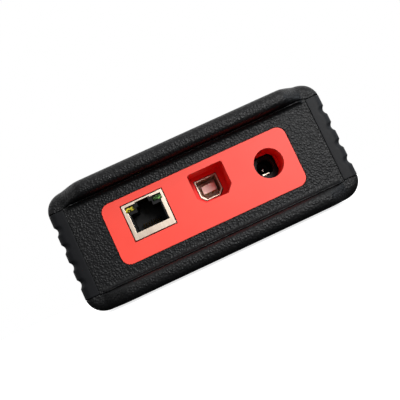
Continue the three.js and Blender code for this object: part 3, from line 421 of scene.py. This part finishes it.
materials = {"grained black ABS": makeGrainedAbs(), "green solder mask": makeLaminate()}
materials.update({name: makePlastic(name) for name in plainPlastics})
materials.update({name: makeMetal(name) for name in platedMetals})
materials.update({name: makeLens(name) for name in lensLooks})
slotMaterials = {
    "black_textured_shell": "grained black ABS",
    "grey_elastomer_grip": "smooth grey elastomer",
    "red_bezel": "matt red ABS",
    "black_nylon": "satin black nylon",
    "black_rubber": "black rubber",
    "bright_steel": "polished steel",
    "zinc_steel": "dull zinc plate",
    "tin_plated_sheet": "bright tin plate",
    "gold_contact": "thin gold plate",
    "turned_brass": "turned brass",
    "black_aluminium": "black anodised aluminium",
    "bare_aluminium": "drawn aluminium",
    "green_laminate": "green solder mask",
    "chip_epoxy": "moulded chip epoxy",
    "cream_nylon": "cream nylon",
    "yellow_lens": "yellow lamp lens",
    "green_lens": "green lamp lens",
    "clear_lens": "frosted clear acrylic",
    "dark_ferrite": "pressed ferrite",
}
nodeSlots = {part["node"]: part["material_slot"] for part in frame["record"]["subparts"]}
print("materials made")


# turning bmeshes into pieces
softShadeAngle = math.radians(38)
flatAngle = math.radians(1)
mergeDistance = 0.002 * mm


# makes the object, shades it smooth up to a crease angle, and fixes it to its body
def finishPiece(bm, name, slot, body="case", stands=()):
    for face in bm.faces:
        face.smooth = True
    for edge in bm.edges:
        edge.smooth = edge.calc_face_angle(0) < softShadeAngle
    mesh = bpy.data.meshes.new(name)
    bm.to_mesh(mesh)
    bm.free()
    mesh.materials.append(materials[slotMaterials[slot]])
    piece = bpy.data.objects.new(name, mesh)
    bpy.context.collection.objects.link(piece)
    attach(piece, body)
    if stands:
        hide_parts(*stands)
    return piece


# flat faces stay flat beside their rounded edges
def evenShading(piece):
    weighted = piece.modifiers.new("even shading", "WEIGHTED_NORMAL")
    weighted.keep_sharp = True


# a merged copy of a CAD solid, with its flat areas as single faces
def copyOfNode(node):
    bm = bmesh.new()
    bm.from_mesh(frame["nodes"][node].data)
    bmesh.ops.remove_doubles(bm, verts=bm.verts, dist=mergeDistance)
    bmesh.ops.dissolve_limit(bm, angle_limit=flatAngle, verts=bm.verts, edges=bm.edges)
    return bm


# rounds every sharp edge, or those that keep() picks
def softenEdges(bm, width, segments=3, creaseAngle=30, keep=None):
    edges = [e for e in bm.edges if e.calc_face_angle(0) > math.radians(creaseAngle)]
    if keep:
        edges = [e for e in edges if keep(e)]
    bmesh.ops.bevel(bm, geom=edges, offset=width, segments=segments, profile=0.5, affect="EDGES",
                    material=-1, clamp_overlap=True, loop_slide=True)


# the case skins: ribs that run from the seam at each end over the lip and along the case
caseSkin = {
    "corner": 7.5, "lipReach": 6.9, "lipInner": 17.4, "lipFlat": 41.1, "lipGone": 48.1, "rampBlend": 1.0,
    "noseRadius": 3.3, "cornerRadius": 3.0, "softRadius": 4.2, "innerRadius": 1.9, "innerShare": 0.45,
    "seam": 0.15, "seamRadius": 0.2, "lastRib": 0.06, "panelGap": 0.3, "thickness": 1.2, "ledge": 2.2,
    "ledgeBack": 5.6,
}
gripSkin = {
    "grooves": (-10.5, -3.5, 3.5, 10.5), "grooveWidth": 3.5, "grooveDepth": 0.9, "edgeRadius": 0.25,
    "frontRadius": 3.0, "seamRadius": 0.2, "ledge": 1.0, "thickness": 1.2,
}
# how finely the skins are divided: round a rib, and from rib to rib
ribSteps = {"seam": 6, "face": 3, "nose": 10, "along": 6, "corner": 18, "grip": 130, "gripEdge": 6}
lipStations = {"wide": [0, 8, 16, 24, 32, 38], "fineStep": 0.5, "fineCount": 19}
halfWide = cadBounds[1].x / mm
halfTall = (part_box("top_shell")[1].z - middle.z) / mm
faceAway = -endFace / mm
gripTop = (gripHigh.z - middle.z) / mm
seamInner = gripTop + caseSkin["seam"]
panelEdge = gripLow.x / mm  # where the panel gives way to the grip


# how far the lips stand in front of the panels, at a distance from the middle of the case
def lipReachAt(x):
    flat, gone, blend = caseSkin["lipFlat"], caseSkin["lipGone"], caseSkin["rampBlend"]
    slope = caseSkin["lipReach"] / (gone - flat)
    softTop = (math.sqrt((x - flat) ** 2 + blend ** 2) + (x - flat)) / 2
    softFoot = (math.sqrt((x - gone) ** 2 + blend ** 2) + (x - gone)) / 2
    lost = slope * (softTop - softFoot)
    return max(0, caseSkin["lipReach"] - lost)


# one rib: (distance in from the outer skin, distance back from the front) from the seam to the outer skin
def ribProfile(length, outer, inner, inside, ledge):
    points = [(length + ledge, inside), (length, inside)]
    for k in range(ribSteps["seam"] + 1):
        turn = math.pi / 2 * k / ribSteps["seam"]
        points.append((length - inner * (1 - math.cos(turn)), inner * (1 - math.sin(turn))))
    reach = length - inner
    start = math.asin(max(0, min(1, 1 - reach / outer)))
    firstIn = min(reach, outer)
    faceSteps = ribSteps["face"]
    points += [(reach + (firstIn - reach) * k / faceSteps, 0) for k in range(1, faceSteps + 1)]
    for k in range(1, ribSteps["nose"] + 1):
        turn = start + (math.pi / 2 - start) * k / ribSteps["nose"]
        points.append((outer * (1 - math.sin(turn)), 0))
    rounded = []
    for away, back in points:
        missing = max(0, outer - away)
        rounded.append((away, back + outer - math.sqrt(outer * outer - missing * missing)))
    return rounded


# lays a grid over ribs that are each a list of (x, y, z) in millimetres
def gridOverRibs(ribs):
    rows, columns = len(ribs), len(ribs[0])
    bm = bmesh.new()
    bmesh.ops.create_grid(bm, x_segments=columns - 1, y_segments=rows - 1, size=0.5)
    for vert in bm.verts:
        column = round((vert.co.x + 0.5) * (columns - 1))
        row = round((vert.co.y + 0.5) * (rows - 1))
        vert.co = Vector(ribs[row][column]) * mm + middle
    return bm


# a rib's points at both ends of the case, joined along the skin
def wholeRib(outerPoint, innerPoint, front, profile):
    near = []
    across = Vector(innerPoint) - Vector(outerPoint)
    length = max(across.length, 1e-6)
    for away, back in profile:
        flat = Vector(outerPoint) + across * (away / length)
        near.append((flat.x, -front + back, flat.y))
    lastY = near[-1][1]
    steps = ribSteps["along"]
    along = [(outerPoint[0], lastY * (1 - 2 * k / steps), outerPoint[1]) for k in range(1, steps)]
    return near + along + [(x, -y, z) for x, y, z in reversed(near)]


# stations round one shell: over the lips, then round the corner to the grip
def shellStations():
    wide = lipStations["wide"]
    flat = wide + [wide[-1] + lipStations["fineStep"] * k for k in range(1, lipStations["fineCount"] + 1)]
    radius = caseSkin["corner"]
    centre = (halfWide - radius, halfTall - radius)
    last = math.acos((seamInner + caseSkin["lastRib"] - centre[1]) / radius)
    stations = []
    for x in flat:
        stations.append(((x, halfTall), (x, caseSkin["lipInner"])))
    for k in range(ribSteps["corner"] + 1):
        turn = last * k / ribSteps["corner"]
        inward = (seamInner + caseSkin["panelGap"] - centre[1]) / math.cos(turn)
        if centre[0] + inward * math.sin(turn) > panelEdge:
            inward = (seamInner - centre[1]) / math.cos(turn)
        stations.append(((centre[0] + radius * math.sin(turn), centre[1] + radius * math.cos(turn)),
                         (centre[0] + inward * math.sin(turn), centre[1] + inward * math.cos(turn))))
    return stations


def shellRib(outerPoint, innerPoint):
    reach = lipReachAt(outerPoint[0])
    share = min(1, reach / (2 * caseSkin["innerRadius"]))
    side = max(0, outerPoint[0] - (halfWide - caseSkin["corner"])) / caseSkin["corner"]
    swell = math.sin(math.pi * min(1, max(0, 0.5 + side / 2))) ** 2 if side > 0 else 1
    full = caseSkin["cornerRadius"] + (caseSkin["softRadius"] - caseSkin["cornerRadius"]) * swell
    nose = full + (caseSkin["noseRadius"] - full) * share
    inner = caseSkin["seamRadius"] + (caseSkin["innerRadius"] - caseSkin["seamRadius"]) * share
    length = math.dist(outerPoint, innerPoint)
    ledge = caseSkin["ledge"] if innerPoint[0] < panelEdge else 0
    inside = caseSkin["ledgeBack"] + reach
    profile = ribProfile(length, nose, min(inner, caseSkin["innerShare"] * length), inside, ledge)
    return wholeRib(outerPoint, innerPoint, faceAway + reach, profile)


# the round holes in the underside: (node that sits in it, depth in millimetres)
undersideHoles = {f"foot_{k}": 1.5 for k in range(1, 5)}
undersideHoles.update({f"case_screw_{k}": 3.4 for k in range(1, 5)})
undersideWell = {"gap": 0.3, "sides": 48, "wall": 1.0, "bore": 1.75, "start": 0.5, "drill": 5}
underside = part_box("bottom_shell")[0].z


# the middle and the radius of the hole round a node
def holeRound(node):
    low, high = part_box(node)
    centre = (low + high) / 2
    return centre.x, centre.y, (high.x - low.x) / 2 + undersideWell["gap"] * mm


# an object that is only cut or cuts, and rides on no body
def shopObject(bm, name):
    mesh = bpy.data.meshes.new(name)
    bm.to_mesh(mesh)
    bm.free()
    made = bpy.data.objects.new(name, mesh)
    bpy.context.collection.objects.link(made)
    return made


# takes the round holes out of the lower skin
def cutUnderside(bm):
    drill = bmesh.new()
    for node in undersideHoles:
        x, y, radius = holeRound(node)
        bmesh.ops.create_cone(drill, cap_ends=True, segments=undersideWell["sides"], radius1=radius,
                              radius2=radius, depth=undersideWell["drill"] * mm,
                              matrix=Matrix.Translation((x, y, underside)))
    skin, tool = shopObject(bm, "uncut skin"), shopObject(drill, "drill")
    cut = skin.modifiers.new("holes", "BOOLEAN")
    cut.object = tool
    cut.solver = "EXACT"
    bpy.context.view_layer.update()
    result = bmesh.new()
    result.from_mesh(skin.evaluated_get(bpy.context.evaluated_depsgraph_get()).to_mesh())
    for extra in (skin, tool):
        bpy.data.objects.remove(extra)
    return result


# the wells behind those holes: one turned cup each, open round the screw's shank
def makeWells():
    look = undersideWell
    bm = bmesh.new()
    for node, depth in undersideHoles.items():
        x, y, radius = holeRound(node)
        wall, bore, start = look["wall"] * mm, look["bore"] * mm, look["start"] * mm
        ceiling = depth * mm
        profile = [(bore, ceiling), (radius, ceiling), (radius, start), (radius + wall, start),
                   (radius + wall, ceiling + wall), (bore, ceiling + wall)]
        points = [bm.verts.new((x + away, y, underside + height)) for away, height in profile]
        edges = [bm.edges.new((points[k - 1], points[k])) for k in range(len(points))]
        bmesh.ops.spin(bm, geom=points + edges, cent=(x, y, 0), axis=(0, 0, 1), angle=2 * math.pi,
                       steps=look["sides"], use_merge=True)
    bmesh.ops.remove_doubles(bm, verts=bm.verts, dist=mergeDistance)
    bmesh.ops.recalc_face_normals(bm, faces=bm.faces)
    finishPiece(bm, "bottom_shell_wells", nodeSlots["bottom_shell"])


def makeShell(node, upward):
    right = [shellRib(*station) for station in shellStations()]
    ribs = [[(-x, y, z) for x, y, z in rib] for rib in reversed(right[1:])] + right
    ribs = [[(x, y, z * upward) for x, y, z in rib] for rib in ribs]
    bm = gridOverRibs(ribs)
    bmesh.ops.recalc_face_normals(bm, faces=bm.faces)
    outward = sum(face.normal.z * face.calc_area() for face in bm.faces) * upward
    if outward < 0:
        bmesh.ops.reverse_faces(bm, faces=bm.faces)
    bmesh.ops.solidify(bm, geom=bm.faces[:], thickness=caseSkin["thickness"] * mm)
    if node == "bottom_shell":
        bm = cutUnderside(bm)
    finishPiece(bm, node + "_skin", nodeSlots[node], "case", [node])


def grooveAt(z):
    depth = 0
    for centre in gripSkin["grooves"]:
        t = abs(z - centre) / (gripSkin["grooveWidth"] / 2)
        if t < 1:
            depth = gripSkin["grooveDepth"] * (1 - t * t)
    return depth


def gripRib(z, top):
    centre = halfTall - caseSkin["corner"]
    corner = caseSkin["corner"]
    outer = halfWide - max(0, corner - math.sqrt(corner ** 2 - max(0, abs(z) - centre) ** 2))
    edge = gripSkin["edgeRadius"]
    sunk = edge - math.sqrt(max(0, edge ** 2 - max(0, abs(z) - (top - edge)) ** 2))
    outer -= grooveAt(z) + sunk
    inner = gripLow.x / mm - caseSkin["seam"]
    profile = ribProfile(outer - inner, gripSkin["frontRadius"], gripSkin["seamRadius"],
                         caseSkin["ledgeBack"], gripSkin["ledge"])
    profile = [(away, back + sunk) for away, back in profile]
    return wholeRib((outer, z), (inner, z), faceAway, profile)


def makeGrip(node, outward):
    top = gripTop
    edge = gripSkin["edgeRadius"]
    steps = ribSteps["grip"]
    heights = {round(-top + edge + (2 * top - 2 * edge) * k / steps, 4) for k in range(steps + 1)}
    for k in range(ribSteps["gripEdge"] + 1):
        turn = math.pi / 2 * k / ribSteps["gripEdge"]
        heights.add(round(top - edge + edge * math.sin(turn), 4))
        heights.add(round(edge - top - edge * math.sin(turn), 4))
    ribs = [gripRib(z, top) for z in sorted(heights)]
    ribs = [[(x * outward, y, z) for x, y, z in rib] for rib in ribs]
    bm = gridOverRibs(ribs)
    bmesh.ops.recalc_face_normals(bm, faces=bm.faces)
    facing = sum(face.normal.x * face.calc_area() for face in bm.faces) * outward
    if facing < 0:
        bmesh.ops.reverse_faces(bm, faces=bm.faces)
    bmesh.ops.solidify(bm, geom=bm.faces[:], thickness=gripSkin["thickness"] * mm)
    finishPiece(bm, node + "_skin", nodeSlots[node], "case", [node])


# the tongue along a grip's long edge, which closes the seam to the shell
gripTongue = {"from": 50.4, "to": 54.6, "low": 16.5, "high": 17.1, "short": 1.6, "radius": 0.1}


def makeTongue(name, outward, upward):
    look = gripTongue
    bm = bmesh.new()
    bmesh.ops.create_cube(bm, size=1)
    size = Vector((look["to"] - look["from"], 2 * (faceAway - look["short"]), look["high"] - look["low"]))
    across, up = (look["to"] + look["from"]) / 2, (look["high"] + look["low"]) / 2
    place = Vector((across * outward, 0, up * upward))
    bmesh.ops.scale(bm, vec=size * mm, verts=bm.verts)
    bmesh.ops.translate(bm, vec=place * mm + middle, verts=bm.verts)
    softenEdges(bm, look["radius"] * mm, 2)
    finishPiece(bm, name, "grey_elastomer_grip", "case")


for outward, side in ((1, "right"), (-1, "left")):
    makeTongue(f"{side}_upper_tongue", outward, 1)
    makeTongue(f"{side}_lower_tongue", outward, -1)
makeShell("top_shell", 1)
makeShell("bottom_shell", -1)
makeWells()
makeGrip("right_grip", 1)
makeGrip("left_grip", -1)
print("case skins made")


# the solids whose own shape is the finished shape, with their edges rounded
roundedNodes = {
    # node: edge radius, segments, crease angle
    "connector_end_panel": (0.12, 3, 40), "probe_end_panel": (0.12, 3, 40),
    "connector_bezel": (0.25, 3, 30), "probe_bezel": (0.25, 3, 30),
    "rj45_shield": (0.06, 2, 30), "rj45_housing": (0.12, 2, 30), "usb_shell": (0.05, 2, 30),
    "usb_insulator": (0.15, 2, 30), "dc_jack_body": (0.2, 3, 30), "dc_center_pin": (0.1, 2, 30),
    "probe_header_shroud": (0.2, 2, 30), "status_light_pipe": (0.2, 3, 30),
    "rj45_yellow_light": (0.2, 3, 30), "rj45_green_light": (0.2, 3, 30),
}
roundedNodes.update({f"foot_{k}": (0.15, 3, 30) for k in range(1, 5)})
roundedNodes.update({f"case_screw_{k}": (0.1, 2, 30) for k in range(1, 5)})
roundedNodes.update({f"rj45_contact_{k}": (0.05, 2, 30) for k in range(1, 9)})
roundedNodes.update({f"{side}_ejector_latch": (0.3, 3, 30) for side in ("left", "right")})


usbDuct = {
    "halfWidth": 7.08, "top": 6.1, "cornerRadius": 1.0, "cornerSteps": 6, "shellHalf": 4.3, "near": 0.05,
}
usbLow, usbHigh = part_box("usb_shell")
usbCentre = Vector(((usbLow.x + usbHigh.x) / 2, usbLow.y, usbLow.z + usbDuct["shellHalf"] * mm))


# the two upper corners of the square duct are rounded along its whole depth
def roundDuctCorners(bm):
    reach = usbDuct["halfWidth"] * mm
    top = usbCentre.z + usbDuct["top"] * mm
    near = usbDuct["near"] * mm

    def isCorner(edge):
        first, second = (v.co for v in edge.verts)
        atCorner = all(abs(abs(p.x - usbCentre.x) - reach) < near and abs(p.z - top) < near
                       for p in (first, second))
        return atCorner and abs(first.x - second.x) < near

    softenEdges(bm, usbDuct["cornerRadius"] * mm, usbDuct["cornerSteps"], keep=isCorner)


def refineNode(node, width, segments, crease):
    bm = copyOfNode(node)
    if node == "connector_bezel":
        roundDuctCorners(bm)
    softenEdges(bm, width * mm, segments, crease)
    bodies = frame["record"]["behaviour"]["bodies"]
    body = next(name for name, members in bodies.items() if node in members)
    evenShading(finishPiece(bm, node + "_look", nodeSlots[node], body, [node]))


for node, (width, segments, crease) in roundedNodes.items():
    refineNode(node, width, segments, crease)
print("outer pieces made")


# the probe header's square pins, two rows deep, with pointed tips
headerPins = {
    "columns": 10, "rows": 2, "pitch": 2.54, "width": 0.64, "root": 60.2, "tip": 66.4, "point": 0.5,
    "tipShare": 0.45, "edgeRadius": 0.04,
}


def addBar(bm, low, high):
    made = bmesh.ops.create_cube(bm, size=1)["verts"]
    bmesh.ops.scale(bm, vec=high - low, verts=made)
    bmesh.ops.translate(bm, vec=(high + low) / 2, verts=made)
    return made


def makeHeaderPins():
    look = headerPins
    low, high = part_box("probe_header_shroud")
    centre = (low + high) / 2
    half = look["width"] / 2 * mm
    bm = bmesh.new()
    for column in range(look["columns"]):
        for row in range(look["rows"]):
            x = centre.x + (column - (look["columns"] - 1) / 2) * look["pitch"] * mm
            z = centre.z + (row - (look["rows"] - 1) / 2) * look["pitch"] * mm
            made = addBar(bm, Vector((x - half, look["root"] * mm, z - half)),
                          Vector((x + half, look["tip"] * mm, z + half)))
            tip = [face for face in bm.faces if face.normal.y > 0.9 and all(v in made for v in face.verts)]
            drawn = bmesh.ops.extrude_face_region(bm, geom=tip)["geom"]
            ends = [v for v in drawn if isinstance(v, bmesh.types.BMVert)]
            bmesh.ops.translate(bm, vec=(0, look["point"] * mm, 0), verts=ends)
            bmesh.ops.scale(bm, vec=(look["tipShare"], 1, look["tipShare"]), verts=ends,
                            space=Matrix.Translation((-x, 0, -z)))
            bmesh.ops.delete(bm, geom=tip, context="FACES_ONLY")
    bmesh.ops.recalc_face_normals(bm, faces=bm.faces)
    softenEdges(bm, look["edgeRadius"] * mm, 2)
    finishPiece(bm, "probe_header_pins", "gold_contact")


# two sprung strips above and two below the tongue of the USB socket
usbContacts = {
    "apart": 2.5, "width": 1.1, "thick": 0.28, "sunk": 0.1, "tongueHalf": 1.6, "front": 48.4, "back": 41.0,
    "edgeRadius": 0.06,
}


def makeUsbContacts():
    look = usbContacts
    bm = bmesh.new()
    for side in (-1, 1):
        for up in (-1, 1):
            x = usbCentre.x + side * look["apart"] / 2 * mm
            near = usbCentre.z + up * (look["tongueHalf"] - look["sunk"]) * mm
            far = near + up * look["thick"] * mm
            addBar(bm, Vector((x - look["width"] / 2 * mm, -look["front"] * mm, min(near, far))),
                   Vector((x + look["width"] / 2 * mm, -look["back"] * mm, max(near, far))))
    softenEdges(bm, look["edgeRadius"] * mm, 2)
    finishPiece(bm, "usb_contacts", "gold_contact")


makeHeaderPins()
makeUsbContacts()
print("pins and contacts made")


insideEdges = {"radius": 0.12, "segments": 2}


# everything behind the panels keeps its own solid, with its material and rounded edges
def dressInside():
    for name, solid in frame["nodes"].items():
        if solid.hide_render:
            continue
        solid.data.materials.clear()
        solid.data.materials.append(materials[slotMaterials[nodeSlots[name]]])
        soften = solid.modifiers.new("rounded edges", "BEVEL")
        soften.width = insideEdges["radius"] * mm
        soften.segments = insideEdges["segments"]
        soften.limit_method = "ANGLE"


dressInside()
print("inner pieces dressed")
